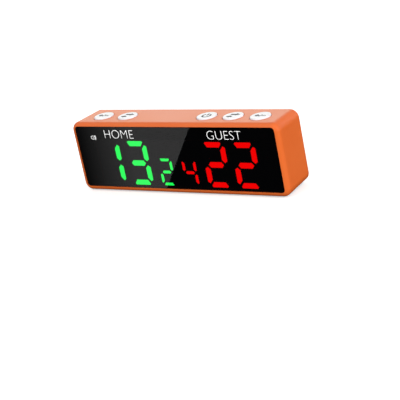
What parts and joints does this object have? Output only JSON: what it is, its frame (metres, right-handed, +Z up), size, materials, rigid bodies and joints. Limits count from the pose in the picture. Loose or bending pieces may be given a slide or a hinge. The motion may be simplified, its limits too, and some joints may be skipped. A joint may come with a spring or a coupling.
{
  "type": "digital scoreboard",
  "caption": "Small portable electronic scoreboard with a smoked display window, two-colour digits and push buttons on its top edge.",
  "frame": {"origin": "bottom centre of the object, on the plane that the feet rest on", "axes": "+X to the right as the display is read, -Y out of the display towards the reader, +Z up"},
  "size_m": [0.1598, 0.0274, 0.0488],
  "materials": {
    "orange_case": "satin moulded ABS",
    "smoked_window": "polished smoked acrylic",
    "black_tape": "matt adhesive tape",
    "rubber_feet": "matt",
    "reflector_black": "matt moulded",
    "green_light": "lit diffuser",
    "red_light": "lit diffuser",
    "unlit_segment": "unlit diffuser",
    "led_package": "moulded",
    "circuit_board": "solder-masked laminate",
    "chip_black": "moulded epoxy",
    "passive_parts": "ceramic",
    "switch_black": "moulded",
    "steel": "pressed",
    "screw_steel": "zinc plated",
    "ribbon_grey": "extruded",
    "battery_foil": "laminated foil",
    "foam": "foam",
    "nylon_white": "moulded",
    "wire_red": "extruded",
    "wire_black": "extruded",
    "speaker_film": "pressed film",
    "print_white": "screen-printed ink",
    "print_grey": "pad-printed ink",
    "button_white": "satin moulded",
    "stem_brown": "moulded"
  },
  "bodies": {
    "case": {"front_shell": "orange_case", "rear_cover": "orange_case", "front_lens": "smoked_window", "lens_tape": "black_tape", "front_feet": "rubber_feet", "rear_feet": "rubber_feet", "display_reflector": "reflector_black", "home_tens_lit": "green_light", "home_units_lit": "green_light", "home_sets_lit": "green_light", "guest_sets_lit": "red_light", "guest_tens_lit": "red_light", "guest_units_lit": "red_light", "unlit_segments": "unlit_segment", "segment_leds": "led_package", "display_board": "circuit_board", "board_chips": "chip_black", "board_passives": "passive_parts", "switch_housings": "switch_black", "switch_covers": "steel", "switch_leads": "steel", "button_board": "circuit_board", "button_ribbon": "ribbon_grey", "charge_ribbon": "ribbon_grey", "battery_cell": "battery_foil", "battery_tape": "foam", "battery_header": "nylon_white", "battery_plug": "nylon_white", "battery_lead_red": "wire_red", "battery_lead_black": "wire_black", "speaker_frame": "steel", "speaker_cone": "speaker_film", "speaker_magnet": "steel", "speaker_gasket": "foam", "speaker_leads": "wire_black", "charge_board": "circuit_board", "charge_chips": "chip_black", "usb_shell": "steel", "usb_tongue": "switch_black", "rear_cover_screws": "screw_steel", "display_board_screws": "screw_steel", "button_board_screws": "screw_steel", "charge_board_screws": "screw_steel", "home_score_dome": "steel", "home_mode_dome": "steel", "power_dome": "steel", "guest_mode_dome": "steel", "guest_score_dome": "steel"},
    "home_score_key": {"home_score_button": "button_white", "home_score_stem": "stem_brown"},
    "home_mode_key": {"home_mode_button": "button_white", "home_mode_stem": "stem_brown"},
    "power_key": {"power_button": "button_white", "power_stem": "stem_brown"},
    "guest_mode_key": {"guest_mode_button": "button_white", "guest_mode_stem": "stem_brown"},
    "guest_score_key": {"guest_score_button": "button_white", "guest_score_stem": "stem_brown"}
  },
  "joints": [
    {"name": "home_score_press", "type": "slide", "parent": "case", "child": "home_score_key", "axis": [0, 0, -1], "range_m": [0, 0.0004], "stiffness_N_per_m": 3000, "springref_m": -0.0001, "deforming": ["home_score_dome"]},
    {"name": "home_mode_press", "type": "slide", "parent": "case", "child": "home_mode_key", "axis": [0, 0, -1], "range_m": [0, 0.0004], "stiffness_N_per_m": 3000, "springref_m": -0.0001, "deforming": ["home_mode_dome"]},
    {"name": "power_press", "type": "slide", "parent": "case", "child": "power_key", "axis": [0, 0, -1], "range_m": [0, 0.0004], "stiffness_N_per_m": 3000, "springref_m": -0.0001, "deforming": ["power_dome"]},
    {"name": "guest_mode_press", "type": "slide", "parent": "case", "child": "guest_mode_key", "axis": [0, 0, -1], "range_m": [0, 0.0004], "stiffness_N_per_m": 3000, "springref_m": -0.0001, "deforming": ["guest_mode_dome"]},
    {"name": "guest_score_press", "type": "slide", "parent": "case", "child": "guest_score_key", "axis": [0, 0, -1], "range_m": [0, 0.0004], "stiffness_N_per_m": 3000, "springref_m": -0.0001, "deforming": ["guest_score_dome"]}
  ]
}
